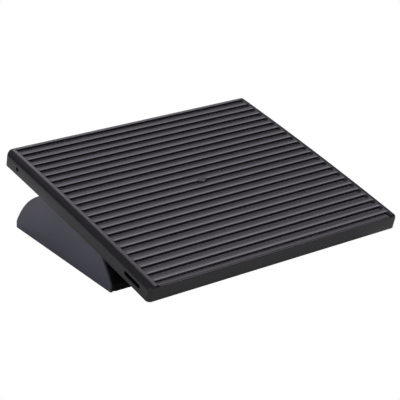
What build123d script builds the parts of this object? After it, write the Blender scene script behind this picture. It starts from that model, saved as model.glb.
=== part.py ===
from build123d import *
from math import asin, cos, degrees, radians, sin
import os

# Tilting footrest: a ribbed, gently crowned footplate on a low base with two arched side panels.
# X runs across the width, -Y is the low front edge, +Z is up. Lengths in mm, angles in degrees.
# The origin is on the floor, at the centre of the whole object's plan outline.

os.makedirs("parts", exist_ok=True)

# ---------------------------------------------------------------- driving dimensions
PLATE_WIDTH = 450.0
PLATE_DEPTH = 377.0
PLATE_HEIGHT = 25.6
DECK_THICKNESS = 6.0
SKIRT_THICKNESS = 3.0
CROWN_RADIUS = 6410.0
SIDE_ROUNDING = 10.5
END_ROUNDING = 4.0
END_CAP_LENGTH = 10.0
DECK_CENTRE_HEIGHT = 94.6

REST_TILT = 10.26
LOWEST_TILT = 0.0
HIGHEST_TILT = 18.0

GROOVE_PITCH = 16.333
GROOVE_COUNT = 23
GROOVE_WIDTH = 7.2
GROOVE_DEPTH = 3.8
GROOVE_OFFSET = -1.45
GROOVE_END_MARGIN = 12.5
FRONT_LIP_ROUNDING = 2.5
CENTRE_DISC_RADIUS = 7.2
CENTRE_DISC_AT = 3.6

SIDE_HOLE_RADIUS = 3.25
SIDE_HOLE_AT = (153.8, -15.9)
SIDE_SLOT_LENGTH = 37.0
SIDE_SLOT_HEIGHT = 6.5
SIDE_SLOT_AT = (-147.7, -15.2)
POCKET_WALL = 1.5
POCKET_DEPTH = 14.0
POCKET_SPARE = 1.3

RIB_DEPTH = 4.0
RIB_THICKNESS = 2.5
RIB_COLUMNS = 7
RIB_ROWS = 8
RIB_FIELD = (301.0, 344.0)
PAD_MARGIN_ACROSS = 1.0
PAD_MARGIN_ALONG = 2.0
MERGE_DEPTH = 0.5

BASE_LENGTH = 252.4
BASE_CENTRE_Y = 45.2
BASE_END_HEIGHT = 10.5
BASE_ARCH_HEIGHT = 89.1
COVER_OUTER_X = 215.0
COVER_THICKNESS = 3.0
CHEEK_THICKNESS = 5.0
CHEEK_INSET = 0.5
FOOT_HEIGHT = 1.5
PAN_THICKNESS = 3.0
RAIL_THICKNESS = 4.0
RAIL_HEIGHT = 10.8

PIVOT_HEIGHT = 71.5
AXLE_RADIUS = 5.0
RUNNING_CLEARANCE = 0.05
STATIC_CLEARANCE = 0.1
EAR_THICKNESS = 3.0
FRICTION_WASHER_THICKNESS = 2.0
SPRING_WASHER_HEIGHT = 2.0
BOSS_RADIUS = 17.0
BOSS_LENGTH = 8.0
NUT_POCKET_DEPTH = 7.0
NUT_ACROSS_FLATS = 16.0

FLANGE_THICKNESS = 2.5
FLANGE_WIDTH = 36.0
FLANGE_LENGTH = 76.0
EAR_TOP_WIDTH = 56.0
EAR_RADIUS = 14.0
BUSH_RADIUS = 7.0
TAIL_WIDTH = 16.0
TAIL_LENGTH = 36.0
STOP_REACH = 28.0
STOP_PEG_RADIUS = 3.0
STOP_BUFFER_RADIUS = 5.0
STOP_PEG_LENGTH = 14.0

BRACKET_SCREW_RADIUS = 2.0
BRACKET_SCREW_HEAD_RADIUS = 4.0
BRACKET_SCREW_HEAD_HEIGHT = 2.4
BRACKET_SCREW_DEPTH = 4.5
BRACKET_SCREW_ACROSS = (-11.0, 5.0)
BRACKET_SCREW_ALONG = 29.0
BLIND_HOLE_SPARE = 0.5
DRIVE_LENGTH_SHARE = 1.2
DRIVE_WIDTH = 0.9
DRIVE_DEPTH = 1.2
PAN_SCREW_RADIUS = 1.75
PAN_SCREW_HEAD_RADIUS = 3.5
PAN_SCREW_LENGTH = 5.8
PAN_SCREW_SIDE_X = 197.0
PAN_SCREW_SIDE_OFFSETS = (-105.0, 0.0, 105.0)
PAN_SCREW_END_OFFSET = 114.0
PAN_SCREW_END_X = (-150.0, 0.0, 150.0)
COVER_SCREW_RADIUS = 1.5
COVER_SCREW_HEAD_RADIUS = 3.0
COVER_SCREW_HEAD_HEIGHT = 2.0
COVER_SCREW_DEPTH = 2.0
COVER_SCREW_SPARE = 0.2
COVER_SCREWS_AT = ((-84.0, 24.0), (-42.0, 66.0), (42.0, 66.0), (84.0, 24.0))
COVER_EDGE_ROUNDING = 1.2

RAIL_FLANGE = 16.0
RAIL_FLANGE_HALF_LENGTH = 184.0
CHEEK_FLANGE_WIDTH = 20.0
CHEEK_FLANGE_THICKNESS = 4.0
CHEEK_RIBS = ((-94.0, 20.0), (-52.0, 42.0), (52.0, 42.0), (94.0, 20.0))
CHEEK_RIB_DEPTH = 5.0
FOOT_RADIUS = 9.0
FOOT_RECESS = 1.0
FOOT_AT = (178.0, 92.0)

TUBE_RADIUS = 8.0
FRICTION_WASHER_RADIUS = 15.0
SPRING_WASHER_BORE = 5.4
SPRING_WASHER_RADIUS = 12.0
SPRING_WASHER_THICKNESS = 0.8
NUT_POCKET_RADIUS = 10.0
NUT_CLEARANCE = 1.0
AXLE_END_GAP = 0.5
AXLE_CHAMFER = 0.8
PEG_OVERHANG = 1.0
CUT_OVERSHOOT = 1.0

# ---------------------------------------------------------------- derived planes and places
SIDES = ((-1, "left"), (1, "right"))
ENDS = ((-1, "front"), (1, "rear"))


def in_plate(u, h):
    """Point (along, out) of the crowned deck, in the flat side plane through its centre."""
    angle = u / CROWN_RADIUS
    return ((CROWN_RADIUS + h) * sin(angle), (CROWN_RADIUS + h) * cos(angle) - CROWN_RADIUS)


def tilted(y, z, angle):
    """Point (y, z) turned about X by an angle."""
    turn = radians(angle)
    return (y * cos(turn) - z * sin(turn), y * sin(turn) + z * cos(turn))


# The plan outline runs from the front rounding to the lower rear corner of the skirt, and the
# deck's centre is set back so that the outline is centred on the origin.
FRONT_REACH = tilted(*in_plate(END_ROUNDING - PLATE_DEPTH / 2, -END_ROUNDING), REST_TILT)[0] - END_ROUNDING
REAR_REACH = tilted(*in_plate(PLATE_DEPTH / 2, -PLATE_HEIGHT), REST_TILT)[0]
DECK_CENTRE = Vector(0, -(FRONT_REACH + REAR_REACH) / 2, DECK_CENTRE_HEIGHT)

DECK_ALONG = Vector(0, *tilted(1, 0, REST_TILT))
DECK_OUT = Vector(0, *tilted(0, 1, REST_TILT))
PLATE_SIDE = Plane(origin=DECK_CENTRE, x_dir=DECK_ALONG, z_dir=(1, 0, 0))
DECK_FRAME = Plane(origin=DECK_CENTRE, x_dir=(1, 0, 0), z_dir=DECK_OUT)
CROWN_AXIS = Axis(DECK_CENTRE - DECK_OUT * CROWN_RADIUS, (-1, 0, 0))

PIVOT = (BASE_CENTRE_Y, PIVOT_HEIGHT)
PIVOT_IN_PLATE = PLATE_SIDE.to_local_coords(Vector(0, *PIVOT))
PIVOT_U = PIVOT_IN_PLATE.X
PIVOT_H = PIVOT_IN_PLATE.Y

INNER_WIDTH = PLATE_WIDTH - 2 * SKIRT_THICKNESS
INNER_ROUNDING = SIDE_ROUNDING - SKIRT_THICKNESS
GROOVE_PLACES = [GROOVE_OFFSET + (i - (GROOVE_COUNT - 1) / 2) * GROOVE_PITCH for i in range(GROOVE_COUNT)]
FRONT_GROOVE_REACH = PLATE_DEPTH / 2 + GROOVE_PLACES[0] + GROOVE_WIDTH / 2
RIB_UNDERSIDE = -(DECK_THICKNESS + RIB_DEPTH)
COVER_INNER_X = COVER_OUTER_X - COVER_THICKNESS
CHEEK_INNER_X = COVER_INNER_X - CHEEK_THICKNESS
BOSS_INNER_X = CHEEK_INNER_X - BOSS_LENGTH
NUT_SEAT_X = COVER_INNER_X - NUT_POCKET_DEPTH
EAR_OUTER_X = BOSS_INNER_X - FRICTION_WASHER_THICKNESS
EAR_INNER_X = EAR_OUTER_X - EAR_THICKNESS
TUBE_END_X = EAR_INNER_X - SPRING_WASHER_HEIGHT
FLANGE_CENTRE_X = EAR_OUTER_X - RUNNING_CLEARANCE - FLANGE_WIDTH / 2

PAN_TOP = FOOT_HEIGHT + PAN_THICKNESS

FOOT_PLACES = {
    f"{end_name}_{side_name}": (side * FOOT_AT[0], BASE_CENTRE_Y + end * FOOT_AT[1])
    for end, end_name in ENDS
    for side, side_name in SIDES
}
PAN_SCREW_PLACES = [
    *[(side * PAN_SCREW_SIDE_X, BASE_CENTRE_Y + y) for side, _ in SIDES for y in PAN_SCREW_SIDE_OFFSETS],
    *[(x, BASE_CENTRE_Y + end * PAN_SCREW_END_OFFSET) for end, _ in ENDS for x in PAN_SCREW_END_X],
]
BRACKET_SCREW_PLACES = [
    (side * (FLANGE_CENTRE_X + across), PIVOT_U + along)
    for side, _ in SIDES
    for across in BRACKET_SCREW_ACROSS
    for along in (-BRACKET_SCREW_ALONG, BRACKET_SCREW_ALONG)
]
COVER_SCREW_PLACES = [(BASE_CENTRE_Y + offset, height) for offset, height in COVER_SCREWS_AT]


def section_plane(u):
    """Plane square to the deck at distance u along it: x across the width, y out of the deck."""
    tilt = REST_TILT - degrees(u / CROWN_RADIUS)
    along = tilted(1, 0, tilt)
    place = in_plate(u, 0)
    origin = DECK_CENTRE + DECK_ALONG * place[0] + DECK_OUT * place[1]
    return Plane(origin=origin, x_dir=(1, 0, 0), z_dir=(0, -along[0], -along[1]))


def on_crown(u, h=0.0):
    """Location in the side plane that stands square on the crowned deck."""
    return Location((*in_plate(u, h), 0), (0, 0, -degrees(u / CROWN_RADIUS)))


def stop_place(limit_tilt, direction):
    """Centre of the stop that the bracket's tail meets when the deck reaches a limit."""
    lean = limit_tilt - REST_TILT
    meet = degrees(asin((TAIL_WIDTH / 2 + STOP_BUFFER_RADIUS + RUNNING_CLEARANCE) / STOP_REACH))
    below = tilted(0, -STOP_REACH, REST_TILT + lean + direction * meet)
    return (PIVOT[0] + below[0], PIVOT[1] + below[1])


STOP_PLACES = {"front": stop_place(LOWEST_TILT, -1), "rear": stop_place(HIGHEST_TILT, 1)}


def arch_face(inset):
    """Arched side panel outline in the YZ plane: flat foot, short upright ends and one arc."""
    half = BASE_LENGTH / 2 - inset
    bottom = FOOT_HEIGHT + inset
    shoulder = FOOT_HEIGHT + BASE_END_HEIGHT
    crown = FOOT_HEIGHT + BASE_ARCH_HEIGHT - inset
    with BuildSketch(mode=Mode.PRIVATE) as arch:
        with BuildLine():
            Polyline(
                (BASE_CENTRE_Y - half, shoulder),
                (BASE_CENTRE_Y - half, bottom),
                (BASE_CENTRE_Y + half, bottom),
                (BASE_CENTRE_Y + half, shoulder),
            )
            ThreePointArc(
                (BASE_CENTRE_Y - half, shoulder),
                (BASE_CENTRE_Y, crown),
                (BASE_CENTRE_Y + half, shoulder),
            )
        make_face()
    return arch.sketch


def plate_section():
    """Draw the outer cross-section of the footplate, rounded at its two sides, in the open sketch."""
    with Locations((0, -PLATE_HEIGHT / 2)):
        Rectangle(PLATE_WIDTH, PLATE_HEIGHT)
    fillet(vertices().group_by(Axis.Y)[-1], SIDE_ROUNDING)


def drive_recess(places, head_radius):
    """Sketch the crossed driver slots of screw heads at the given places."""
    with Locations(*places):
        Rectangle(DRIVE_LENGTH_SHARE * head_radius, DRIVE_WIDTH)
        Rectangle(DRIVE_WIDTH, DRIVE_LENGTH_SHARE * head_radius)


def keep(piece, name):
    """Label a finished piece and write its STEP file."""
    piece.part.label = name
    export_step(piece.part, f"parts/{name}.step")


# ---------------------------------------------------------------- footplate
# Cells between the shallow stiffening ribs; their roofs follow the crown of the deck.
with BuildPart() as rib_cells:
    with BuildSketch(section_plane(-RIB_FIELD[1] / 2)):
        with Locations((0, -DECK_THICKNESS - RIB_DEPTH)):
            Rectangle(RIB_FIELD[0], 2 * RIB_DEPTH)
    revolve(axis=CROWN_AXIS, revolution_arc=degrees(RIB_FIELD[1] / CROWN_RADIUS))
    with BuildSketch(DECK_FRAME.offset(-PLATE_HEIGHT)):
        with GridLocations(RIB_FIELD[0] / RIB_COLUMNS, RIB_FIELD[1] / RIB_ROWS, RIB_COLUMNS, RIB_ROWS):
            Rectangle(RIB_FIELD[0] / RIB_COLUMNS - RIB_THICKNESS, RIB_FIELD[1] / RIB_ROWS - RIB_THICKNESS)
    extrude(amount=PLATE_HEIGHT, mode=Mode.INTERSECT)

with BuildPart() as footplate:
    # straight end caps carry the end rounding, and the crowned body joins them
    for end, _ in ENDS:
        with BuildSketch(section_plane(end * (PLATE_DEPTH / 2 - END_CAP_LENGTH))):
            plate_section()
        extrude(amount=-end * END_CAP_LENGTH)
        end_face = footplate.faces().sort_by(Axis.Y)[0 if end < 0 else -1]
        fillet(end_face.edges().sort_by(Axis.Z)[1:], END_ROUNDING)
    with BuildSketch(section_plane(END_CAP_LENGTH - PLATE_DEPTH / 2)):
        plate_section()
    revolve(axis=CROWN_AXIS, revolution_arc=degrees((PLATE_DEPTH - 2 * END_CAP_LENGTH) / CROWN_RADIUS))

    # hollow underside, cut to the rib level in the middle and to the deck beside it
    with BuildSketch(section_plane(SKIRT_THICKNESS - PLATE_DEPTH / 2)) as hollow_section:
        with Locations((0, -PLATE_HEIGHT)):
            Rectangle(INNER_WIDTH, 2 * (PLATE_HEIGHT + RIB_UNDERSIDE))
        for side, _ in SIDES:
            with Locations((side * (RIB_FIELD[0] + INNER_WIDTH) / 4, -PLATE_HEIGHT)):
                Rectangle((INNER_WIDTH - RIB_FIELD[0]) / 2, 2 * (PLATE_HEIGHT - DECK_THICKNESS))
        fillet(hollow_section.vertices().group_by(Axis.X)[0].sort_by(Axis.Y)[-1], INNER_ROUNDING)
        fillet(hollow_section.vertices().group_by(Axis.X)[-1].sort_by(Axis.Y)[-1], INNER_ROUNDING)
    revolve(
        axis=CROWN_AXIS,
        revolution_arc=degrees((PLATE_DEPTH - 2 * SKIRT_THICKNESS) / CROWN_RADIUS),
        mode=Mode.SUBTRACT,
    )
    add(rib_cells.part, mode=Mode.SUBTRACT)

    # grooves across the deck, all square to the crown, and the flush disc in the middle
    with BuildSketch(PLATE_SIDE):
        with Locations(*[on_crown(u) for u in GROOVE_PLACES]):
            Rectangle(GROOVE_WIDTH, 2 * GROOVE_DEPTH)
    extrude(amount=PLATE_WIDTH / 2 - GROOVE_END_MARGIN, both=True, mode=Mode.SUBTRACT)
    with BuildSketch(DECK_FRAME.offset(-GROOVE_DEPTH - MERGE_DEPTH)):
        with Locations((0, CENTRE_DISC_AT)):
            Circle(CENTRE_DISC_RADIUS)
    extrude(amount=GROOVE_DEPTH + MERGE_DEPTH)

    # the groove nearest the front is open there: its floor runs out over a low rounded lip
    with BuildSketch(PLATE_SIDE):
        with Locations(on_crown(-(PLATE_DEPTH + CUT_OVERSHOOT - FRONT_GROOVE_REACH) / 2)):
            Rectangle(FRONT_GROOVE_REACH + CUT_OVERSHOOT, 2 * GROOVE_DEPTH)
        with Locations(on_crown(-PLATE_DEPTH / 2, -GROOVE_DEPTH - FRONT_LIP_ROUNDING / 2)):
            Rectangle(2 * FRONT_LIP_ROUNDING, FRONT_LIP_ROUNDING)
        with Locations(on_crown(FRONT_LIP_ROUNDING - PLATE_DEPTH / 2, -GROOVE_DEPTH - FRONT_LIP_ROUNDING)):
            Circle(FRONT_LIP_ROUNDING, mode=Mode.SUBTRACT)
    extrude(amount=PLATE_WIDTH / 2 - GROOVE_END_MARGIN, both=True, mode=Mode.SUBTRACT)

    # a round hole near the rear and a slot near the front of both side skirts: each opens into a
    # closed and slightly wider pocket that hangs from the deck behind the skirt
    for side, _ in SIDES:
        with BuildSketch(PLATE_SIDE.offset(side * (PLATE_WIDTH - SKIRT_THICKNESS) / 2)):
            for (at, height), length, drop in (
                (SIDE_HOLE_AT, 2 * SIDE_HOLE_RADIUS, SIDE_HOLE_RADIUS),
                (SIDE_SLOT_AT, SIDE_SLOT_LENGTH, SIDE_SLOT_HEIGHT / 2),
            ):
                margin = POCKET_SPARE + POCKET_WALL
                tall = -height + drop + margin - DECK_THICKNESS + MERGE_DEPTH
                with Locations(on_crown(at, height - drop - margin + tall / 2)):
                    Rectangle(length + 2 * margin, tall)
        extrude(amount=-side * (POCKET_DEPTH + POCKET_WALL - SKIRT_THICKNESS / 2))
        for depth, reach, spare in (
            (SKIRT_THICKNESS, SKIRT_THICKNESS + CUT_OVERSHOOT, 0.0),
            (POCKET_DEPTH, POCKET_DEPTH - SKIRT_THICKNESS, POCKET_SPARE),
        ):
            with BuildSketch(PLATE_SIDE.offset(side * (PLATE_WIDTH / 2 - depth))):
                with Locations(on_crown(*SIDE_HOLE_AT)):
                    Circle(SIDE_HOLE_RADIUS + spare)
                with Locations(on_crown(*SIDE_SLOT_AT)):
                    SlotOverall(SIDE_SLOT_LENGTH + 2 * spare, SIDE_SLOT_HEIGHT + 2 * spare)
            extrude(amount=side * reach, mode=Mode.SUBTRACT)

    # flat pads for the hinge brackets, with blind screw holes
    with BuildSketch(DECK_FRAME.offset(RIB_UNDERSIDE)):
        for side, _ in SIDES:
            with Locations((side * FLANGE_CENTRE_X, PIVOT_U)):
                Rectangle(FLANGE_WIDTH + 2 * PAD_MARGIN_ACROSS, FLANGE_LENGTH + 2 * PAD_MARGIN_ALONG)
    extrude(amount=RIB_DEPTH + MERGE_DEPTH)
    with BuildSketch(DECK_FRAME.offset(RIB_UNDERSIDE)):
        with Locations(*BRACKET_SCREW_PLACES):
            Circle(BRACKET_SCREW_RADIUS + STATIC_CLEARANCE / 2)
    extrude(amount=BRACKET_SCREW_DEPTH, mode=Mode.SUBTRACT)
keep(footplate, "footplate")

# ---------------------------------------------------------------- hinge brackets under the deck
for side, side_name in SIDES:
    with BuildPart() as hinge_bracket:
        with BuildSketch(DECK_FRAME.offset(RIB_UNDERSIDE)):
            with Locations((side * FLANGE_CENTRE_X, PIVOT_U)):
                Rectangle(FLANGE_WIDTH, FLANGE_LENGTH)
        extrude(amount=-FLANGE_THICKNESS)
        with BuildSketch(PLATE_SIDE.offset(side * (EAR_OUTER_X - RUNNING_CLEARANCE))):
            with BuildSketch(mode=Mode.ADD):
                with Locations((PIVOT_U, RIB_UNDERSIDE - FLANGE_THICKNESS / 2)):
                    Rectangle(EAR_TOP_WIDTH, FLANGE_THICKNESS)
                with Locations((PIVOT_U, PIVOT_H)):
                    Circle(EAR_RADIUS)
                make_hull()
            with Locations((PIVOT_U, PIVOT_H - TAIL_LENGTH / 2)):
                Rectangle(TAIL_WIDTH, TAIL_LENGTH)
            with Locations((PIVOT_U, PIVOT_H)):
                Circle(BUSH_RADIUS, mode=Mode.SUBTRACT)
        extrude(amount=-side * (EAR_THICKNESS - 2 * RUNNING_CLEARANCE))
        with BuildSketch(DECK_FRAME.offset(RIB_UNDERSIDE)):
            with Locations(*BRACKET_SCREW_PLACES):
                Circle(BRACKET_SCREW_RADIUS + STATIC_CLEARANCE / 2)
        extrude(amount=-FLANGE_THICKNESS, mode=Mode.SUBTRACT)
        tail_corners = hinge_bracket.edges().filter_by(Axis.X).group_by(Axis.Z)[0]
        fillet(tail_corners, TAIL_WIDTH / 4)
    keep(hinge_bracket, f"hinge_bracket_{side_name}")

    with BuildPart() as hinge_bush:
        with BuildSketch(Plane.YZ.offset(side * (EAR_OUTER_X - RUNNING_CLEARANCE))):
            with Locations(PIVOT):
                Circle(BUSH_RADIUS - STATIC_CLEARANCE / 4)
                Circle(AXLE_RADIUS + RUNNING_CLEARANCE, mode=Mode.SUBTRACT)
        extrude(amount=-side * (EAR_THICKNESS - 2 * RUNNING_CLEARANCE))
    keep(hinge_bush, f"hinge_bush_{side_name}")

with BuildPart(DECK_FRAME.offset(RIB_UNDERSIDE - FLANGE_THICKNESS)) as bracket_screws:
    with Locations(*BRACKET_SCREW_PLACES):
        Cylinder(
            BRACKET_SCREW_RADIUS,
            FLANGE_THICKNESS + BRACKET_SCREW_DEPTH - BLIND_HOLE_SPARE,
            align=(Align.CENTER, Align.CENTER, Align.MIN),
        )
        Cylinder(
            BRACKET_SCREW_HEAD_RADIUS,
            BRACKET_SCREW_HEAD_HEIGHT,
            align=(Align.CENTER, Align.CENTER, Align.MAX),
        )
    head_plane = DECK_FRAME.offset(RIB_UNDERSIDE - FLANGE_THICKNESS - BRACKET_SCREW_HEAD_HEIGHT)
    head_edges = bracket_screws.edges().filter_by(GeomType.CIRCLE).filter_by(
        lambda edge: abs(head_plane.to_local_coords(edge.center()).Z) < MERGE_DEPTH
    )
    fillet(head_edges, BRACKET_SCREW_HEAD_HEIGHT / 2)
    with BuildSketch(head_plane):
        drive_recess(BRACKET_SCREW_PLACES, BRACKET_SCREW_HEAD_RADIUS)
    extrude(amount=DRIVE_DEPTH, mode=Mode.SUBTRACT)
keep(bracket_screws, "bracket_screws")

# ---------------------------------------------------------------- base: floor pan, rails and feet
with BuildPart() as base_pan:
    with BuildSketch(Plane.XY.offset(FOOT_HEIGHT)):
        with Locations((0, BASE_CENTRE_Y)):
            Rectangle(2 * (CHEEK_INNER_X - STATIC_CLEARANCE), BASE_LENGTH - 2 * RAIL_THICKNESS)
    extrude(amount=PAN_THICKNESS)
    with BuildSketch(Plane.XY.offset(FOOT_HEIGHT)):
        with Locations(*FOOT_PLACES.values()):
            Circle(FOOT_RADIUS + STATIC_CLEARANCE)
    extrude(amount=FOOT_RECESS, mode=Mode.SUBTRACT)
    with Locations(*[(x, y, FOOT_HEIGHT) for x, y in PAN_SCREW_PLACES]):
        Cone(
            PAN_SCREW_HEAD_RADIUS + STATIC_CLEARANCE / 2,
            PAN_SCREW_RADIUS + STATIC_CLEARANCE / 2,
            PAN_SCREW_HEAD_RADIUS - PAN_SCREW_RADIUS,
            align=(Align.CENTER, Align.CENTER, Align.MIN),
            mode=Mode.SUBTRACT,
        )
        Cylinder(PAN_SCREW_RADIUS + STATIC_CLEARANCE / 2, 2 * PAN_THICKNESS, mode=Mode.SUBTRACT)
keep(base_pan, "base_pan")

for end, end_name in ENDS:
    with BuildPart() as rail:
        outer_y = BASE_CENTRE_Y + end * BASE_LENGTH / 2
        with BuildSketch(Plane.YZ):
            with Locations((outer_y - end * RAIL_THICKNESS / 2, FOOT_HEIGHT + RAIL_HEIGHT / 2)):
                Rectangle(RAIL_THICKNESS, RAIL_HEIGHT)
            with Locations((outer_y - end * (RAIL_THICKNESS + RAIL_FLANGE) / 2, PAN_TOP + PAN_THICKNESS / 2)):
                Rectangle(RAIL_THICKNESS + RAIL_FLANGE, PAN_THICKNESS)
        extrude(amount=RAIL_FLANGE_HALF_LENGTH, both=True)
        with BuildSketch(Plane.YZ):
            with Locations((outer_y - end * RAIL_THICKNESS / 2, FOOT_HEIGHT + RAIL_HEIGHT / 2)):
                Rectangle(RAIL_THICKNESS, RAIL_HEIGHT)
        extrude(amount=CHEEK_INNER_X - STATIC_CLEARANCE, both=True)
        with Locations(*[(x, y, PAN_TOP) for x, y in PAN_SCREW_PLACES]):
            Cylinder(PAN_SCREW_RADIUS + STATIC_CLEARANCE / 2, 3 * PAN_THICKNESS, mode=Mode.SUBTRACT)
        top_edges = rail.edges().filter_by(Axis.X).group_by(Axis.Z)[-1]
        fillet(top_edges, RAIL_THICKNESS / 4)
    keep(rail, f"{end_name}_rail")

with BuildPart() as pan_screws:
    with Locations(*[(x, y, FOOT_HEIGHT) for x, y in PAN_SCREW_PLACES]):
        Cone(
            PAN_SCREW_HEAD_RADIUS,
            PAN_SCREW_RADIUS,
            PAN_SCREW_HEAD_RADIUS - PAN_SCREW_RADIUS,
            align=(Align.CENTER, Align.CENTER, Align.MIN),
        )
        Cylinder(PAN_SCREW_RADIUS, PAN_SCREW_LENGTH, align=(Align.CENTER, Align.CENTER, Align.MIN))
    with BuildSketch(Plane.XY.offset(FOOT_HEIGHT)):
        drive_recess(PAN_SCREW_PLACES, PAN_SCREW_HEAD_RADIUS)
    extrude(amount=DRIVE_DEPTH, mode=Mode.SUBTRACT)
keep(pan_screws, "pan_screws")

for foot_name, foot_place in FOOT_PLACES.items():
    with BuildPart() as foot:
        with BuildSketch(Plane.XY):
            with Locations(foot_place):
                Circle(FOOT_RADIUS)
        extrude(amount=FOOT_HEIGHT + FOOT_RECESS)
        fillet(foot.edges().group_by(Axis.Z)[0], FOOT_HEIGHT / 3)
    keep(foot, f"foot_{foot_name}")

# ---------------------------------------------------------------- base: cheeks and side covers
for side, side_name in SIDES:
    with BuildPart() as inner_cheek:
        with BuildSketch(Plane.YZ.offset(side * COVER_INNER_X)):
            add(arch_face(CHEEK_INSET))
        extrude(amount=-side * CHEEK_THICKNESS)
        # hinge boss, pegs for the stop buffers, screw flange and upright ribs, all facing inwards
        with BuildSketch(Plane.YZ.offset(side * CHEEK_INNER_X)):
            with Locations(PIVOT):
                Circle(BOSS_RADIUS)
        extrude(amount=-side * BOSS_LENGTH)
        with BuildSketch(Plane.YZ.offset(side * CHEEK_INNER_X)):
            with Locations(*STOP_PLACES.values()):
                Circle(STOP_PEG_RADIUS)
        extrude(amount=-side * STOP_PEG_LENGTH)
        with BuildSketch(Plane.YZ.offset(side * CHEEK_INNER_X)):
            with Locations((BASE_CENTRE_Y, PAN_TOP + CHEEK_FLANGE_THICKNESS / 2)):
                Rectangle(BASE_LENGTH - 2 * RAIL_THICKNESS - MERGE_DEPTH, CHEEK_FLANGE_THICKNESS)
        extrude(amount=-side * CHEEK_FLANGE_WIDTH)
        with BuildSketch(Plane.YZ.offset(side * CHEEK_INNER_X)):
            for offset, height in CHEEK_RIBS:
                with Locations((BASE_CENTRE_Y + offset, PAN_TOP + height / 2)):
                    Rectangle(RIB_THICKNESS, height)
        extrude(amount=-side * CHEEK_RIB_DEPTH)
        # axle bore, nut pocket from outside, cover screw holes and pan screw holes
        with BuildSketch(Plane.YZ.offset(side * COVER_INNER_X)):
            with Locations(PIVOT):
                Circle(NUT_POCKET_RADIUS)
        extrude(amount=-side * NUT_POCKET_DEPTH, mode=Mode.SUBTRACT)
        with BuildSketch(Plane.YZ.offset(side * COVER_OUTER_X)):
            with Locations(PIVOT):
                Circle(AXLE_RADIUS + STATIC_CLEARANCE)
        extrude(amount=-side * (COVER_OUTER_X - BOSS_INNER_X + CUT_OVERSHOOT), mode=Mode.SUBTRACT)
        with BuildSketch(Plane.YZ.offset(side * COVER_OUTER_X)):
            with Locations(*COVER_SCREW_PLACES):
                Circle(COVER_SCREW_RADIUS + STATIC_CLEARANCE)
        extrude(amount=-side * (COVER_OUTER_X - CHEEK_INNER_X + CUT_OVERSHOOT), mode=Mode.SUBTRACT)
        with Locations(*[(x, y, PAN_TOP) for x, y in PAN_SCREW_PLACES]):
            Cylinder(PAN_SCREW_RADIUS + STATIC_CLEARANCE / 2, 3 * PAN_THICKNESS, mode=Mode.SUBTRACT)
    keep(inner_cheek, f"inner_cheek_{side_name}")

    with BuildPart() as side_cover:
        with BuildSketch(Plane.YZ.offset(side * COVER_INNER_X)):
            add(arch_face(0))
        extrude(amount=side * COVER_THICKNESS)
        outer_face = side_cover.faces().sort_by(Axis.X)[-1 if side > 0 else 0]
        fillet(outer_face.edges().sort_by(Axis.Z)[1:], COVER_EDGE_ROUNDING)
        with BuildSketch(Plane.YZ.offset(side * COVER_INNER_X)):
            with Locations(*COVER_SCREW_PLACES):
                Circle(COVER_SCREW_RADIUS + STATIC_CLEARANCE / 4)
        extrude(amount=side * COVER_SCREW_DEPTH, mode=Mode.SUBTRACT)
    keep(side_cover, f"side_cover_{side_name}")

    for stop_name, stop_at in STOP_PLACES.items():
        with BuildPart() as stop_buffer:
            with BuildSketch(Plane.YZ.offset(side * (CHEEK_INNER_X - STATIC_CLEARANCE))):
                with Locations(stop_at):
                    Circle(STOP_BUFFER_RADIUS)
                    Circle(STOP_PEG_RADIUS + STATIC_CLEARANCE / 4, mode=Mode.SUBTRACT)
            extrude(amount=-side * (STOP_PEG_LENGTH - PEG_OVERHANG))
        keep(stop_buffer, f"stop_buffer_{stop_name}_{side_name}")

with BuildPart() as cover_screws:
    for side, _ in SIDES:
        with BuildSketch(Plane.YZ.offset(side * CHEEK_INNER_X)):
            with Locations(*COVER_SCREW_PLACES):
                Circle(COVER_SCREW_RADIUS)
        extrude(amount=side * (CHEEK_THICKNESS + COVER_SCREW_DEPTH - COVER_SCREW_SPARE))
        with BuildSketch(Plane.YZ.offset(side * CHEEK_INNER_X)):
            with Locations(*COVER_SCREW_PLACES):
                Circle(COVER_SCREW_HEAD_RADIUS)
        extrude(amount=-side * COVER_SCREW_HEAD_HEIGHT)
        with BuildSketch(Plane.YZ.offset(side * (CHEEK_INNER_X - COVER_SCREW_HEAD_HEIGHT))):
            drive_recess(COVER_SCREW_PLACES, COVER_SCREW_HEAD_RADIUS)
        extrude(amount=side * DRIVE_DEPTH, mode=Mode.SUBTRACT)
keep(cover_screws, "cover_screws")

# ---------------------------------------------------------------- friction hinge
with BuildPart() as pivot_axle:
    with BuildSketch(Plane.YZ):
        with Locations(PIVOT):
            Circle(AXLE_RADIUS)
    extrude(amount=COVER_INNER_X - AXLE_END_GAP, both=True)
    chamfer(pivot_axle.edges().filter_by(GeomType.CIRCLE), AXLE_CHAMFER)
keep(pivot_axle, "pivot_axle")

with BuildPart() as spacer_tube:
    with BuildSketch(Plane.YZ):
        with Locations(PIVOT):
            Circle(TUBE_RADIUS)
            Circle(AXLE_RADIUS + 2 * STATIC_CLEARANCE, mode=Mode.SUBTRACT)
    extrude(amount=TUBE_END_X, both=True)
keep(spacer_tube, "spacer_tube")

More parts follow.
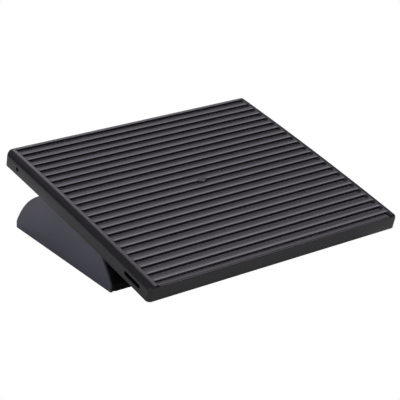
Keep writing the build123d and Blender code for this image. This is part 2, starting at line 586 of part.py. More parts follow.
for side, side_name in SIDES:
    with BuildPart() as friction_washer:
        with BuildSketch(Plane.YZ.offset(side * BOSS_INNER_X)):
            with Locations(PIVOT):
                Circle(FRICTION_WASHER_RADIUS)
                Circle(AXLE_RADIUS + 2 * STATIC_CLEARANCE, mode=Mode.SUBTRACT)
        extrude(amount=-side * FRICTION_WASHER_THICKNESS)
    keep(friction_washer, f"friction_washer_{side_name}")

    # a cone of thin spring steel: its bore bears on the tube and its rim on the bracket's ear
    with BuildPart() as spring_washer:
        with BuildSketch(Plane(origin=(side * TUBE_END_X, *PIVOT), x_dir=(side, 0, 0), z_dir=(0, 0, side))):
            with BuildLine():
                Polyline(
                    (0, SPRING_WASHER_BORE),
                    (SPRING_WASHER_THICKNESS, SPRING_WASHER_BORE),
                    (SPRING_WASHER_HEIGHT, SPRING_WASHER_RADIUS),
                    (SPRING_WASHER_HEIGHT - SPRING_WASHER_THICKNESS, SPRING_WASHER_RADIUS),
                    close=True,
                )
            make_face()
        revolve(axis=Axis((0, *PIVOT), (1, 0, 0)))
    keep(spring_washer, f"spring_washer_{side_name}")

    with BuildPart() as lock_nut:
        with BuildSketch(Plane.YZ.offset(side * NUT_SEAT_X)):
            with Locations(PIVOT):
                RegularPolygon(NUT_ACROSS_FLATS / 2, 6, major_radius=False)
                Circle(AXLE_RADIUS + STATIC_CLEARANCE / 4, mode=Mode.SUBTRACT)
        extrude(amount=side * (NUT_POCKET_DEPTH - NUT_CLEARANCE))
    keep(lock_nut, f"lock_nut_{side_name}")
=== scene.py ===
import math

import bmesh
import bpy
import numpy as np
from mathutils import Matrix, Vector


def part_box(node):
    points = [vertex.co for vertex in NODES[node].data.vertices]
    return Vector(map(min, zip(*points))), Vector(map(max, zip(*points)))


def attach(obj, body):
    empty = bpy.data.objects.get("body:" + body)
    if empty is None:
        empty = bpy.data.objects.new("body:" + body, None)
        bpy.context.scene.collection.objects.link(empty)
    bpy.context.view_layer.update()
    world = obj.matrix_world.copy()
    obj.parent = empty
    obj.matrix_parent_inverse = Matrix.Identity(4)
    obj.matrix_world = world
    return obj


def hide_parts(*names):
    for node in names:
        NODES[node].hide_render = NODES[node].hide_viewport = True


# A tilting footrest: a ribbed, crowned black footplate on a low base with two arched grey sides.
# Everything is in metres in the CAD frame; the footplate's own shape is worked out in mm first.

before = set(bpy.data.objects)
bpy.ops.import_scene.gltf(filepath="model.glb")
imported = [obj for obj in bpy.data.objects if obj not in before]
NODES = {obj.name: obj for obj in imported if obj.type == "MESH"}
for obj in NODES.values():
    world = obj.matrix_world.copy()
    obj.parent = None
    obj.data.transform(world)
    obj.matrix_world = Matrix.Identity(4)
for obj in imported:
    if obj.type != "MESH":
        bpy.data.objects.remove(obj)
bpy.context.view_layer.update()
MM = 0.001
SIDES = ((-1, "left"), (1, "right"))

# ------------------------------------------------------------------ footplate, sizes in mm
HALF_WIDTH = 225.0
HALF_DEPTH = 188.5
SKIRT_HEIGHT = 25.6
SKIRT = 3.0
DECK = 6.0
CROWN = 6410.0
TILT = math.radians(10.26)
DECK_CENTRE = Vector((0.0, -2.7717, 94.6))
SIDE_ROUND = 10.5
SIDE_EASE = 32.0
SIDE_EASE_TILT = 10
END_ROUND = 4.0
CORNER = 6.5
FRONT_LIP = 1.1
FRONT_LIP_RISE = 0.8
LIP = 0.35

PITCH = 16.333
GROOVE_COUNT = 23
MIDDLE_GROOVE = -1.45
GROOVES = [MIDDLE_GROOVE + (i - GROOVE_COUNT // 2) * PITCH for i in range(GROOVE_COUNT)]
GROOVE_HALF = 3.4
GROOVE_DEEP = 3.8
WALL_LEAN = math.radians(78.0)
SHOULDER = 2.2
FLOOR_FILLET = 0.4
FLOOR_LINE_GAP = 0.6
RIB_LEAN = math.radians(15.0)
GROOVE_END = 212.3
GROOVE_RUNOUT = 3.6
GROOVE_END_DROP = 0.2
DISC_RADIUS = 7.2
DISC_AT = (0.0, 3.6)
DISC_DIP = 0.15
DISC_DIP_START = 2.0
DISC_EDGE_START = 0.5
DISC_EDGE = 1.2

RIB_DEEP = 4.0
RIB_THICK = 2.5
RIB_FIELD = (301.0, 344.0)
RIB_CELLS = (7, 8)
PAD_X = (159.95, 197.95)
PAD_HALF_U = 40.0
INNER_END_ROUND = 2.0

HOLE_RADIUS = 3.25
HOLE_AT = (153.8, -15.9)
SLOT_LENGTH = 37.0
SLOT_HEIGHT = 6.5
SLOT_AT = (-147.7, -15.2)
POCKET_DEEP = 14.0
POCKET_WALL = 1.5
POCKET_SPARE = 1.3
POCKET_EDGE = 0.5
DECK_OVERLAP = 0.5
SKIRT_OVERLAP = 0.8
FLARE = 0.25
CUTTER_PAST = 2.0
HAIR = 0.01

# how finely the footplate's mesh is drawn: degrees to a step of the side rounding, steps to a corner,
# lines beside an edge in mm, and the angles in radians at which the skirt's lower edge is drawn
ARC_STEP = 2
CORNER_STEPS = 7
EDGE_LINES = (-0.35, -0.1, 0.1, 0.35)
OUTER_LIP_ANGLES = (0.55, 1.05, 1.571)
INNER_LIP_ANGLES = (0.785, 1.571)


def place(x, u, h):
    """Point of the crowned, tilted plate: x across, u along the deck, h out of it."""
    turn = u / CROWN
    along = (CROWN + h) * np.sin(turn)
    out = (CROWN + h) * np.cos(turn) - CROWN
    y = DECK_CENTRE.y + along * math.cos(TILT) - out * math.sin(TILT)
    z = DECK_CENTRE.z + along * math.sin(TILT) + out * math.cos(TILT)
    return np.stack(np.broadcast_arrays(x, y, z), -1) * MM


def groove_section():
    """Offsets from a groove's centre and depths, from its floor out to the middle of the rib."""
    wall, crown = WALL_LEAN, RIB_LEAN
    shoulder_run = SHOULDER * (math.sin(wall) - math.sin(crown))
    shoulder_fall = SHOULDER * (math.cos(crown) - math.cos(wall))
    room = PITCH / 2 - GROOVE_HALF - shoulder_run + shoulder_fall / math.tan(wall)
    top_radius = room / (math.sin(crown) - (1 - math.cos(crown)) / math.tan(wall))
    foot = GROOVE_HALF - GROOVE_DEEP / math.tan(wall)
    low = FLOOR_FILLET * math.tan(wall / 2)
    rows = [(0.0, GROOVE_DEEP), (foot - low - FLOOR_LINE_GAP, GROOVE_DEEP)]
    for k in range(3):
        a = wall * k / 2
        rows.append((foot - low + FLOOR_FILLET * math.sin(a), GROOVE_DEEP - FLOOR_FILLET * (1 - math.cos(a))))
    edge = PITCH / 2 - top_radius * math.sin(crown)
    fall = top_radius * (1 - math.cos(crown))
    for k in range(6):
        a = wall + (crown - wall) * k / 5
        out = edge - SHOULDER * (math.sin(a) - math.sin(crown))
        rows.append((out, fall + SHOULDER * (math.cos(crown) - math.cos(a))))
    for share in (0.8, 0.6, 0.4, 0.2, 0.0):
        a = crown * share
        rows.append((PITCH / 2 - top_radius * math.sin(a), top_radius * (1 - math.cos(a))))
    return rows


SECTION = groove_section()
SECTION_S = np.array([s for s, _ in SECTION])
SECTION_D = np.array([d for _, d in SECTION])


def smooth(t):
    t = np.clip(t, 0.0, 1.0)
    return t * t * (3 - 2 * t)


def groove_share(x):
    """How much of a groove's depth is left at x: 1 in the middle, 0 past its end."""
    return np.sqrt(smooth((GROOVE_END - np.abs(x)) / GROOVE_RUNOUT))


def groove_depth(x, u):
    """Depth of the ribbed deck below its crown at (x, u). The first groove is open at the front."""
    offsets = np.where(u < GROOVES[0], 0.0, np.abs(u[..., None] - np.array(GROOVES)).min(-1))
    depth = np.interp(offsets, SECTION_S, SECTION_D)
    end = groove_share(x)
    away = np.hypot(x - DISC_AT[0], u - DISC_AT[1])
    disc = smooth((away - DISC_RADIUS + DISC_EDGE_START) / DISC_EDGE)
    flush = DISC_DIP * smooth((away - DISC_RADIUS + DISC_DIP_START) / DISC_EDGE) * (1 - disc)
    return depth * end * disc + flush


def round_inset(t, radius):
    return radius - math.sqrt(max(radius**2 - (radius - min(t, radius)) ** 2, 0))


def side_profile():
    """Drops and insets of the side rounding: a gentle start, then the rounding itself."""
    eased = np.radians(range(0, SIDE_EASE_TILT + 1, ARC_STEP))
    rows = [(SIDE_EASE * (1 - math.cos(a)), SIDE_EASE * math.sin(a)) for a in eased]
    low, far = rows[-1]
    begin = math.radians(SIDE_EASE_TILT)
    for a in np.radians(range(SIDE_EASE_TILT + ARC_STEP, 91, ARC_STEP)):
        fall = SIDE_ROUND * (math.cos(begin) - math.cos(a))
        rows.append((low + fall, far + SIDE_ROUND * (math.sin(a) - math.sin(begin))))
    return np.array([t for t, _ in rows]), rows[-1][1] - np.array([x for _, x in rows])


SIDE_DROPS, SIDE_INSETS = side_profile()
SIDE_START = HALF_WIDTH - SIDE_INSETS[0]
SIDE_END = SIDE_DROPS[-1]


def front_drop(t):
    """Drop of the low front lip where a plain rounding would have dropped by t."""
    if t >= END_ROUND:
        foot = GROOVE_DEEP - FRONT_LIP_RISE + FRONT_LIP
        return t + (foot - END_ROUND) * max(0.0, (SIDE_END - t) / (SIDE_END - END_ROUND))
    run = math.sqrt(t * (2 * END_ROUND - t))
    past = max(run - (END_ROUND - FRONT_LIP), 0.0)
    rise = FRONT_LIP_RISE * float(smooth(run / (END_ROUND - FRONT_LIP)))
    return GROOVE_DEEP - rise + round_rise(past, FRONT_LIP)


def round_rise(run, radius):
    return radius - math.sqrt(max(radius**2 - run**2, 0.0))


def ring(level, half_x, half_u, round_x, inset_x, inset_u, corner, xs, us, inset):
    """Closed loop of (x, u) round the plate at one level, in eight runs: four sides, four corners."""
    share = math.sqrt(max(0.0, 1 - (1 - min(level / round_x, 1.0)) ** 2))
    bend = max(corner * share - inset, 0.0)
    reach_x = half_x - inset - inset_x
    reach_u = half_u - inset - inset_u
    flat_x = reach_x - bend
    flat_u = reach_u - bend
    line_x = xs / xs[-1] * flat_x
    line_u = us / us[-1] * flat_u
    runs = []
    corners = ((1, -1, -90), (1, 1, 0), (-1, 1, 90), (-1, -1, 180))
    sides = (
        np.stack([line_x, np.full_like(line_x, -reach_u)], 1),
        np.stack([np.full_like(line_u, reach_x), line_u], 1),
        np.stack([line_x[::-1], np.full_like(line_x, reach_u)], 1),
        np.stack([np.full_like(line_u, -reach_x), line_u[::-1]], 1),
    )
    for side, (cx, cu, begin) in zip(sides, corners):
        runs.append(side)
        angles = np.radians(begin + 90 * np.arange(1, CORNER_STEPS) / CORNER_STEPS)
        runs.append(np.stack([cx * flat_x + bend * np.cos(angles), cu * flat_u + bend * np.sin(angles)], 1))
    return runs


class Shell:
    """Vertices and faces of one mesh, built up ring by ring."""

    def __init__(self):
        self.points = []
        self.faces = []
        self.count = 0

    def add(self, points):
        first = self.count
        self.points.append(np.asarray(points, float))
        self.count += len(points)
        return np.arange(first, self.count)

    def loop_strip(self, a, b, flip=False):
        """Quads between two closed loops of the same length."""
        c, d = np.roll(a, -1), np.roll(b, -1)
        quads = np.stack([a, b, d, c] if not flip else [a, c, d, b], 1)
        self.faces += [tuple(q) for q in quads.tolist()]

    def zip_loops(self, a, b):
        """Triangles between two closed loops of different length, each a list of matching runs."""
        for k in range(len(a)):
            run_a = np.append(a[k], a[(k + 1) % len(a)][0])
            run_b = np.append(b[k], b[(k + 1) % len(b)][0])
            i = j = 0
            while i < len(run_a) - 1 or j < len(run_b) - 1:
                step_a = (i + 1) / (len(run_a) - 1) if i < len(run_a) - 1 else math.inf
                step_b = (j + 1) / (len(run_b) - 1) if j < len(run_b) - 1 else math.inf
                if step_a <= step_b:
                    self.faces.append((run_a[i], run_b[j], run_a[i + 1]))
                    i += 1
                else:
                    self.faces.append((run_a[i], run_b[j], run_b[j + 1]))
                    j += 1

    def grid(self, xs, us, heights, flip=False):
        """A sheet of quads on the lines xs by us. Returns its border as the four runs of a ring."""
        gx, gu = np.meshgrid(xs, us, indexing="ij")
        ids = self.add(np.stack([gx.ravel(), gu.ravel(), heights.ravel()], 1)).reshape(gx.shape)
        a, b, c, d = ids[:-1, :-1], ids[1:, :-1], ids[1:, 1:], ids[:-1, 1:]
        quads = np.stack([a, b, c, d] if not flip else [a, d, c, b], -1).reshape(-1, 4)
        self.faces += [tuple(q) for q in quads.tolist()]
        return [ids[:, 0], ids[-1, :], ids[::-1, -1], ids[0, ::-1]]

    def mesh(self, name, mapped):
        points = np.concatenate(self.points)
        data = bpy.data.meshes.new(name)
        data.from_pydata(mapped(points).tolist(), [], [tuple(int(i) for i in f) for f in self.faces])
        bm = bmesh.new()
        bm.from_mesh(data)
        bmesh.ops.remove_doubles(bm, verts=bm.verts, dist=2e-7)
        bmesh.ops.dissolve_degenerate(bm, dist=1e-7, edges=bm.edges)
        bmesh.ops.recalc_face_normals(bm, faces=bm.faces)
        bm.to_mesh(data)
        bm.free()
        return data


def outer_lines():
    """Lines across and along the top of the deck, close together where its shape changes."""
    end = SIDE_START
    runout = GROOVE_END - GROOVE_RUNOUT * (1 - np.linspace(0, 1, 9) ** 1.5)
    plain = [14.0, 30.0, 60.0, 90.0, 120.0, 150.0, 180.0, 204.0]
    disc = np.arange(0.0, 10.2, 0.6).tolist()
    half = sorted(set(np.round(disc + plain + [x for x in runout if x < end - 0.05] + [end], 5)))
    xs = np.array([-x for x in half[:0:-1]] + half)
    us = []
    for centre in GROOVES:
        us += [centre - s for s in SECTION_S[::-1]] + [centre + s for s in SECTION_S[1:]]
    limit = HALF_DEPTH - END_ROUND
    us = [u for u in us if abs(u) < limit - 0.05] + [-limit, limit]
    us = np.array(sorted(us))
    keep = np.append(True, np.diff(us) > 0.02)
    return xs, us[keep]


def under_lines():
    """Lines for the ribbed underside: a pair each side of every stiffening rib and pad."""
    side, end = [], []
    cell_x = RIB_FIELD[0] / RIB_CELLS[0]
    cell_u = RIB_FIELD[1] / RIB_CELLS[1]
    edges_x = [-RIB_FIELD[0] / 2 + k * cell_x for k in range(RIB_CELLS[0] + 1)]
    edges_u = [-RIB_FIELD[1] / 2 + k * cell_u for k in range(RIB_CELLS[1] + 1)]
    for marks, lines in ((edges_x, side), (edges_u, end)):
        for m in marks:
            for s in (-1, 1):
                lines += [m + s * (RIB_THICK / 2 + d) for d in EDGE_LINES]
    for m in (*PAD_X, -PAD_X[0], -PAD_X[1]):
        side += [m + d for d in EDGE_LINES]
    for m in (PIVOT_U - PAD_HALF_U, PIVOT_U + PAD_HALF_U):
        end += [m + d for d in EDGE_LINES]
    limit_x = HALF_WIDTH - SIDE_ROUND
    limit_u = HALF_DEPTH - SKIRT - INNER_END_ROUND
    side = sorted([x for x in side if abs(x) < limit_x - 0.1] + [-limit_x, limit_x])
    end = sorted([u for u in end if abs(u) < limit_u - 0.1] + [-limit_u, limit_u])
    keep_x = np.append(True, np.diff(side) > 0.03)
    keep_u = np.append(True, np.diff(end) > 0.03)
    return np.array(side)[keep_x], np.array(end)[keep_u]


def underside_height(x, u):
    """Height of the underside: the deck, its grid of shallow ribs and the two bracket pads."""
    lean = 0.45
    deep = np.full(x.shape, -DECK)
    cell_x = RIB_FIELD[0] / RIB_CELLS[0]
    cell_u = RIB_FIELD[1] / RIB_CELLS[1]
    in_x = smooth((RIB_FIELD[0] / 2 - np.abs(x)) / lean + 0.5)
    off_x = np.abs((x + RIB_FIELD[0] / 2 + cell_x / 2) % cell_x - cell_x / 2)
    off_u = np.abs((u + RIB_FIELD[1] / 2 + cell_u / 2) % cell_u - cell_u / 2)
    rib = np.maximum(
        smooth((RIB_THICK / 2 - off_x) / lean + 0.5),
        smooth((RIB_THICK / 2 - off_u) / lean + 0.5),
    )
    rib = np.maximum(rib, smooth((np.abs(u) - RIB_FIELD[1] / 2) / lean + 0.5))
    pad = np.minimum(
        smooth((np.abs(x) - PAD_X[0]) / lean + 0.5) * smooth((PAD_X[1] - np.abs(x)) / lean + 0.5),
        smooth((PAD_HALF_U - np.abs(u - PIVOT_U)) / lean + 0.5),
    )
    return deep - RIB_DEEP * np.maximum(rib * in_x, pad)


PIVOT = (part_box("pivot_axle")[0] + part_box("pivot_axle")[1]) / 2 / MM
PIVOT_U = (PIVOT.y - DECK_CENTRE.y) * math.cos(TILT) + (PIVOT.z - DECK_CENTRE.z) * math.sin(TILT)


def footplate_mesh():
    shell = Shell()
    xs, us = outer_lines()
    gx, gu = np.meshgrid(xs, us, indexing="ij")
    border = shell.grid(xs, us, -groove_depth(gx, gu))

    # outer rings: the two roundings, the front lip, the skirt wall and its lower edge
    levels = [round_rise(run, END_ROUND) for run in np.linspace(0, 3.9, 14)[1:]] + [END_ROUND]
    levels += SIDE_DROPS[1:].tolist()
    levels = sorted(set(np.round(levels, 4)))
    keep = [levels[0]]
    for t in levels[1:]:
        if t - keep[-1] > 0.012 + 0.02 * t:
            keep.append(t)
    steps = [(t, 0.0) for t in keep] + [(SKIRT_HEIGHT - LIP, 0.0)]
    steps += [(SKIRT_HEIGHT - LIP * (1 - math.sin(a)), LIP * (1 - math.cos(a))) for a in OUTER_LIP_ANGLES]
    last = None
    for t, inset in steps:
        inset_x = np.interp(t, SIDE_DROPS, SIDE_INSETS)
        inset_u = round_inset(t, END_ROUND)
        runs = ring(t, HALF_WIDTH, HALF_DEPTH, SIDE_END, inset_x, inset_u, CORNER, xs, us, inset)
        flat = np.concatenate(runs)
        height = np.full(len(flat), -t)
        if t < GROOVE_END_DROP:
            height = np.minimum(height, -groove_depth(flat[:, 0], flat[:, 1]))
        front = slice(0, len(runs[0]))
        height[front] = -t - (front_drop(t) - t) * groove_share(flat[front, 0])
        ids = shell.add(np.column_stack([flat, height]))
        if last is None:
            corners = [np.repeat(border[(k + 1) % 4][0], CORNER_STEPS - 1) for k in range(4)]
            first = np.concatenate([np.append(border[k], corners[k]) for k in range(4)])
            shell.loop_strip(first, ids)
        else:
            shell.loop_strip(last, ids)
        last = ids
    cuts = np.cumsum([len(r) for r in runs])[:-1]
    outer_runs = np.split(last, cuts)

    # inner rings: from the ribbed underside down its two roundings and the wall to the lower edge
    xs2, us2 = under_lines()
    gx, gu = np.meshgrid(xs2, us2, indexing="ij")
    border = shell.grid(xs2, us2, underside_height(gx, gu), flip=True)
    rounding = SIDE_ROUND - SKIRT
    steps = [DECK + rounding * (1 - math.cos(math.radians(a))) for a in range(15, 90, 15)] + [DECK + rounding]
    steps += [DECK + INNER_END_ROUND * (1 - math.cos(math.radians(a))) for a in (30, 60, 90)]
    steps = [(t, 0.0) for t in sorted(steps)] + [(SKIRT_HEIGHT - LIP, 0.0)]
    steps += [(SKIRT_HEIGHT - LIP * (1 - math.sin(a)), -LIP * (1 - math.cos(a))) for a in INNER_LIP_ANGLES]
    last = None
    for t, inset in steps:
        level = t - DECK
        insets = (round_inset(level, rounding), round_inset(level, INNER_END_ROUND))
        size = (HALF_WIDTH - SKIRT, HALF_DEPTH - SKIRT, rounding)
        runs = ring(level, *size, *insets, CORNER - SKIRT, xs2, us2, inset)
        flat = np.concatenate(runs)
        ids = shell.add(np.column_stack([flat, np.full(len(flat), -t)]))
        if last is None:
            corners = [np.repeat(border[(k + 1) % 4][0], CORNER_STEPS - 1) for k in range(4)]
            first = np.concatenate([np.append(border[k], corners[k]) for k in range(4)])
            shell.loop_strip(first, ids, flip=True)
        else:
            shell.loop_strip(last, ids, flip=True)
        last = ids
    cuts = np.cumsum([len(r) for r in runs])[:-1]
    shell.zip_loops(outer_runs, np.split(last, cuts))
    return shell.mesh("footplate_shell", lambda p: place(p[:, 0], p[:, 1], p[:, 2]))


def skirt_cutter(side, at, half_length, radius, name):
    """A cutter through one skirt, a slot or a hole slightly flared outside, and the pocket behind it."""
    outline = []
    for end in (1, -1):
        for k in range(13):
            a = math.radians(-90 + 15 * k)
            outline.append((end * (half_length + radius * math.cos(a)), end * radius * math.sin(a)))
    inside = HALF_WIDTH - SKIRT
    deep = HALF_WIDTH - POCKET_DEEP
    rings = ((HALF_WIDTH + CUTTER_PAST, FLARE), (HALF_WIDTH + HAIR, FLARE), (HALF_WIDTH - FLARE, 0.0))
    rings += ((inside, 0.0), (inside - HAIR, POCKET_SPARE), (deep, POCKET_SPARE))
    points, faces = [], []
    n = len(outline)
    for depth, flare in rings:
        for a, b in outline:
            scale = (radius + flare) / radius
            centre = half_length if a > 0 else -half_length
            u = at[0] + centre + (a - centre) * scale
            points.append(place(side * depth, u, at[1] + b * scale).tolist())
    for r in range(len(rings) - 1):
        for k in range(n):
            m = (k + 1) % n
            faces.append((r * n + k, r * n + m, (r + 1) * n + m, (r + 1) * n + k))
    faces.append(tuple(range(n))[::-1])
    faces.append(tuple(range((len(rings) - 1) * n, len(rings) * n)))
    return tool_object(name, points, faces)


def pocket_block(side, at, half_length, drop, name):
    """The closed box that hangs from the deck behind a blind hole or slot, with rounded lower edges."""
    margin = POCKET_SPARE + POCKET_WALL
    half = half_length + drop + margin
    low, top = at[1] - drop - margin, DECK_OVERLAP - DECK
    outline = [(half, top), (-half, top)]
    for end, begin in ((-1, 180), (1, 270)):
        for a in np.radians(begin + 22.5 * np.arange(5)):
            across = end * (half - POCKET_WALL) + POCKET_WALL * math.cos(a)
            outline.append((across, low + POCKET_WALL * (1 + math.sin(a))))
    inner = HALF_WIDTH - POCKET_DEEP - POCKET_WALL
    points, faces = [], []
    n = len(outline)
    rings = ((HALF_WIDTH - SKIRT + SKIRT_OVERLAP, 1.0), (inner + POCKET_EDGE, 1.0))
    rings += ((inner, 1 - POCKET_EDGE / half),)
    for depth, scale in rings:
        for a, b in outline:
            points.append(place(side * depth, at[0] + a * scale, top + (b - top) * scale).tolist())
    for r in range(len(rings) - 1):
        for k in range(n):
            m = (k + 1) % n
            faces.append((r * n + k, r * n + m, (r + 1) * n + m, (r + 1) * n + k))
    faces.append(tuple(range(n))[::-1])
    faces.append(tuple(range((len(rings) - 1) * n, len(rings) * n)))
    return tool_object(name, points, faces)


def tool_object(name, points, faces):
    """A closed body to add to or cut from another one."""
    data = bpy.data.meshes.new(name)
    data.from_pydata(points, [], faces)
    bm = bmesh.new()
    bm.from_mesh(data)
    bmesh.ops.recalc_face_normals(bm, faces=bm.faces)
    bm.to_mesh(data)
    bm.free()
    tool = bpy.data.objects.new(name, data)
    bpy.context.scene.collection.objects.link(tool)
    return tool


def finish_mesh(data, angle=35.0):
    for polygon in data.polygons:
        polygon.use_smooth = True
    data.set_sharp_from_angle(angle=math.radians(angle))


def make_object(name, data, body, nodes, material):
    piece = bpy.data.objects.new(name, data)
    bpy.context.scene.collection.objects.link(piece)
    data.materials.clear()
    data.materials.append(material)
    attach(piece, body)
    if nodes:
        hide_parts(*nodes)


def joined(data, blocks, cutters):
    """The mesh with the blocks added to it and the cutters taken out of it."""
    base = bpy.data.objects.new("cut_base", data)
    bpy.context.scene.collection.objects.link(base)
    for tool in (*blocks, *cutters):
        step = base.modifiers.new("step", "BOOLEAN")
        step.operation = "UNION" if tool in blocks else "DIFFERENCE"
        step.solver = "EXACT"
        step.object = tool
    bpy.context.view_layer.update()
    made = bpy.data.meshes.new_from_object(base.evaluated_get(bpy.context.evaluated_depsgraph_get()))
    for o in (base, *blocks, *cutters):
        bpy.data.objects.remove(o)
    return made


# ------------------------------------------------------------------ materials
def new_material(name):
    material = bpy.data.materials.new(name)
    material.use_nodes = True
    tree = material.node_tree
    tree.nodes.clear()
    out = tree.nodes.new("ShaderNodeOutputMaterial")
    shader = tree.nodes.new("ShaderNodeBsdfPrincipled")
    tree.links.new(shader.outputs[0], out.inputs["Surface"])
    return material, tree, shader


def noise(tree, coordinate, scale, detail=4.0, roughness=0.55):
    node = tree.nodes.new("ShaderNodeTexNoise")
    node.inputs["Scale"].default_value = scale
    node.inputs["Detail"].default_value = detail
    node.inputs["Roughness"].default_value = roughness
    tree.links.new(coordinate, node.inputs["Vector"])
    return node.outputs["Fac"]


def spread(tree, value, low, high, out_low, out_high):
    node = tree.nodes.new("ShaderNodeMapRange")
    for key, v in zip(("From Min", "From Max", "To Min", "To Max"), (low, high, out_low, out_high)):
        node.inputs[key].default_value = v
    tree.links.new(value, node.inputs["Value"])
    return node.outputs["Result"]


def math_node(tree, operation, a, b):
    node = tree.nodes.new("ShaderNodeMath")
    node.operation = operation
    for socket, v in zip(node.inputs, (a, b)):
        if isinstance(v, (int, float)):
            socket.default_value = v
        else:
            tree.links.new(v, socket)
    return node.outputs[0]


def mix_colour(tree, factor, a, b):
    node = tree.nodes.new("ShaderNodeMix")
    node.data_type = "RGBA"
    for key, v in (("A", a), ("B", b)):
        socket = [s for s in node.inputs if s.name == key and s.type == "RGBA"][0]
        if isinstance(v, tuple):
            socket.default_value = (*v, 1.0)
        else:
            tree.links.new(v, socket)
    tree.links.new(factor, node.inputs["Factor"])
    return [s for s in node.outputs if s.type == "RGBA"][0]


def plastic(name, colour, worn, rough, grain_mm=0.45, grain=0.08, wear=0.5, specular=0.5, metal=0.0):
    """Moulded or painted surface: fine grain, cloudy gloss, slight colour drift and rubbed edges."""
    material, tree, shader = new_material(name)
    coordinate = tree.nodes.new("ShaderNodeTexCoord").outputs["Object"]
    cloud = noise(tree, coordinate, 14.0, 3.0)
    patch = noise(tree, coordinate, 55.0, 5.0, 0.6)
    fine = noise(tree, coordinate, 1.0 / (grain_mm * MM) / 2, 2.0, 0.5)
    scuff = noise(tree, coordinate, 320.0, 6.0, 0.7)
    edge = tree.nodes.new("ShaderNodeNewGeometry").outputs["Pointiness"]
    bare_edges = spread(tree, edge, 0.505, 0.56, 0.0, wear)
    rubbed = math_node(tree, "MULTIPLY", bare_edges, spread(tree, scuff, 0.4, 0.65, 0.25, 1.0))
    drift = mix_colour(tree, spread(tree, cloud, 0.3, 0.7, 0.0, 1.0), colour, tuple(c * 1.25 for c in colour))
    base = mix_colour(tree, rubbed, drift, worn)
    tree.links.new(base, shader.inputs["Base Color"])
    gloss = spread(tree, cloud, 0.3, 0.7, rough - 0.03, rough + 0.03)
    level = math_node(tree, "ADD", gloss, spread(tree, patch, 0.3, 0.7, -0.025, 0.03))
    level = math_node(tree, "SUBTRACT", level, math_node(tree, "MULTIPLY", rubbed, 0.06))
    tree.links.new(level, shader.inputs["Roughness"])
    shader.inputs["Metallic"].default_value = metal
    shader.inputs["Specular IOR Level"].default_value = specular
    bump = tree.nodes.new("ShaderNodeBump")
    bump.inputs["Strength"].default_value = grain
    bump.inputs["Distance"].default_value = 0.2 * MM
    height = math_node(tree, "ADD", fine, math_node(tree, "MULTIPLY", scuff, 0.35))
    tree.links.new(height, bump.inputs["Height"])
    tree.links.new(bump.outputs[0], shader.inputs["Normal"])
    return material


MATERIALS = {
    "plate_plastic": plastic("plate_plastic", (0.0180, 0.0168, 0.0182), (0.045, 0.043, 0.047), 0.24),
    "base_plastic": plastic("base_plastic", (0.009, 0.009, 0.010), (0.03, 0.03, 0.032), 0.48, specular=0.35),
    "cover_plastic": plastic("cover_plastic", (0.110, 0.115, 0.142), (0.135, 0.14, 0.165), 0.50, wear=0.35),
    "bracket_paint": plastic(
        "bracket_paint", (0.016, 0.016, 0.017), (0.20, 0.19, 0.18), 0.36, 0.8, 0.05, 0.7
    ),
    "zinc_steel": plastic(
        "zinc_steel", (0.55, 0.56, 0.57), (0.75, 0.75, 0.74), 0.30, 0.25, 0.04, 0.5, metal=1.0
    ),
    "nylon": plastic("nylon", (0.55, 0.53, 0.47), (0.68, 0.66, 0.60), 0.42, 0.5, 0.05, 0.3),
    "friction_fibre": plastic(
        "friction_fibre", (0.13, 0.085, 0.05), (0.22, 0.16, 0.10), 0.75, 0.6, 0.35, 0.5
    ),
    "rubber": plastic("rubber", (0.018, 0.018, 0.018), (0.05, 0.05, 0.048), 0.70, 0.5, 0.2, 0.4),
}

blocks, cutters = [], []
for side, side_name in SIDES:
    for at, half_length, radius, kind in (
        (HOLE_AT, 0.0, HOLE_RADIUS, "hole"),
        (SLOT_AT, (SLOT_LENGTH - SLOT_HEIGHT) / 2, SLOT_HEIGHT / 2, "slot"),
    ):
        blocks.append(pocket_block(side, at, half_length, radius, f"{kind}_block_{side_name}"))
        cutters.append(skirt_cutter(side, at, half_length, radius, f"{kind}_{side_name}"))
plate_mesh = joined(footplate_mesh(), blocks, cutters)
finish_mesh(plate_mesh)
make_object("plate", plate_mesh, "footplate", ["footplate"], MATERIALS["plate_plastic"])

# the CAD nodes that keep their own shape, by the start of their names
NODE_FINISH = {
    "hinge_bracket": "bracket_paint",
    "hinge_bush": "nylon",
    "bracket_screws": "zinc_steel",
    "base_pan": "base_plastic",
    "front_rail": "base_plastic",
    "rear_rail": "base_plastic",
    "pan_screws": "zinc_steel",
    "foot_": "rubber",
    "inner_cheek": "base_plastic",
    "side_cover": "cover_plastic",
    "stop_buffer": "rubber",
    "cover_screws": "zinc_steel",
    "pivot_axle": "zinc_steel",
    "spacer_tube": "zinc_steel",
    "friction_washer": "friction_fibre",
    "spring_washer": "zinc_steel",
    "lock_nut": "zinc_steel",
}
for node_name, node in NODES.items():
    for start, finish_name in NODE_FINISH.items():
        if node_name.startswith(start):
            node.data.materials.clear()
            node.data.materials.append(MATERIALS[finish_name])


# ------------------------------------------------------------------ floor, light and camera
FLOOR_SIZE = 12.0
FLOOR_GLOW = 1.0
FLOOR_GAP = 0.0002
FLOOR_COLOUR = (0.84, 0.86, 0.78)
floor_mesh = bpy.data.meshes.new("floor")
half = FLOOR_SIZE / 2
floor_corners = [(-half, -half, 0), (half, -half, 0), (half, half, 0), (-half, half, 0)]
floor_mesh.from_pydata(floor_corners, [], [(0, 1, 2, 3)])
floor = bpy.data.objects.new("floor", floor_mesh)
bpy.context.scene.collection.objects.link(floor)
floor.location.z = -FLOOR_GAP
material = bpy.data.materials.new("floor_paper")
material.use_nodes = True
tree = material.node_tree
tree.nodes.clear()
out = tree.nodes.new("ShaderNodeOutputMaterial")
diffuse = tree.nodes.new("ShaderNodeBsdfDiffuse")
diffuse.inputs["Color"].default_value = (*FLOOR_COLOUR, 1.0)
glow = tree.nodes.new("ShaderNodeEmission")
glow.inputs["Strength"].default_value = FLOOR_GLOW
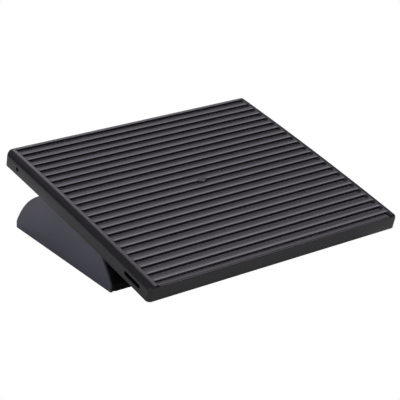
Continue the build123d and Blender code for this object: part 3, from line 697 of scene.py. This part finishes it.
both = tree.nodes.new("ShaderNodeMixShader")
seen = tree.nodes.new("ShaderNodeLightPath")
tree.links.new(seen.outputs["Is Camera Ray"], both.inputs[0])
tree.links.new(diffuse.outputs[0], both.inputs[1])
tree.links.new(glow.outputs[0], both.inputs[2])
clear = tree.nodes.new("ShaderNodeBsdfTransparent")
back = tree.nodes.new("ShaderNodeNewGeometry")
choose = tree.nodes.new("ShaderNodeMixShader")
tree.links.new(back.outputs["Backfacing"], choose.inputs[0])
tree.links.new(both.outputs[0], choose.inputs[1])
tree.links.new(clear.outputs[0], choose.inputs[2])
tree.links.new(choose.outputs[0], out.inputs["Surface"])
floor_mesh.materials.append(material)

world = bpy.data.worlds.new("studio")
bpy.context.scene.world = world
world.use_nodes = True
tree = world.node_tree
tree.nodes.clear()
out = tree.nodes.new("ShaderNodeOutputWorld")
background = tree.nodes.new("ShaderNodeBackground")
tree.links.new(background.outputs[0], out.inputs["Surface"])
direction = tree.nodes.new("ShaderNodeTexCoord").outputs["Generated"]

# soft lights: where each one is (degrees round from +X, degrees up), its half width and its level
LIGHTS = (
    (255.0, 58.0, 20.0, 0.30),
    (12.0, 60.0, 12.5, 4.4),
    (64.0, 47.0, 4.5, 2.4),
    (55.0, 35.0, 8.0, 0.95),
    (90.0, 38.0, 12.0, 0.35),
    (100.0, 25.0, 12.0, 0.60),
    (40.0, 12.0, 8.0, 0.12),
    (130.0, 42.0, 15.0, 0.15),
    (180.0, 15.0, 18.0, 1.0),
    (240.0, 8.0, 15.0, 0.25),
)
BASE_LEVEL = 0.01
LIGHT_TINT = (1.03, 0.98, 1.12)
total = math_node(tree, "ADD", BASE_LEVEL, 0.0)
for turn, rise, width, level in LIGHTS:
    turn, rise = math.radians(turn), math.radians(rise)
    aim = tree.nodes.new("ShaderNodeVectorMath")
    aim.operation = "DOT_PRODUCT"
    tree.links.new(direction, aim.inputs[0])
    level_part = math.cos(rise)
    aim.inputs[1].default_value = (level_part * math.cos(turn), level_part * math.sin(turn), math.sin(rise))
    off = math_node(tree, "SUBTRACT", aim.outputs["Value"], 1.0)
    fall = math_node(tree, "EXPONENT", math_node(tree, "MULTIPLY", off, math.radians(width) ** -2), 0.0)
    total = math_node(tree, "ADD", total, math_node(tree, "MULTIPLY", fall, level))
tree.links.new(total, background.inputs["Strength"])
background.inputs["Color"].default_value = (*LIGHT_TINT, 1.0)

CAMERA_AT = Vector((-1.2563, -1.5926, 0.9577))
AZIMUTH = math.radians(-38.225)
ELEVATION = math.radians(23.85)
ROLL = math.radians(2.766)
SENSOR_WIDTH = 36.0
LENS = 134.48
backward = Vector(
    (math.sin(AZIMUTH) * math.cos(ELEVATION), -math.cos(AZIMUTH) * math.cos(ELEVATION), math.sin(ELEVATION))
)
right = (-backward).cross(Vector((0, 0, 1))).normalized()
up = right.cross(-backward)
turned_right = right * math.cos(ROLL) + up * math.sin(ROLL)
turned_up = up * math.cos(ROLL) - right * math.sin(ROLL)
camera_data = bpy.data.cameras.new("camera")
camera_data.sensor_width = SENSOR_WIDTH
camera_data.lens = LENS
camera = bpy.data.objects.new("camera", camera_data)
bpy.context.scene.collection.objects.link(camera)
facing = Matrix((turned_right, turned_up, backward)).transposed()
camera.matrix_world = Matrix.Translation(CAMERA_AT) @ facing.to_4x4()
camera_data.clip_start, camera_data.clip_end = 0.05, 50.0
bpy.context.scene.camera = camera
bpy.context.scene.view_settings.view_transform = "Standard"
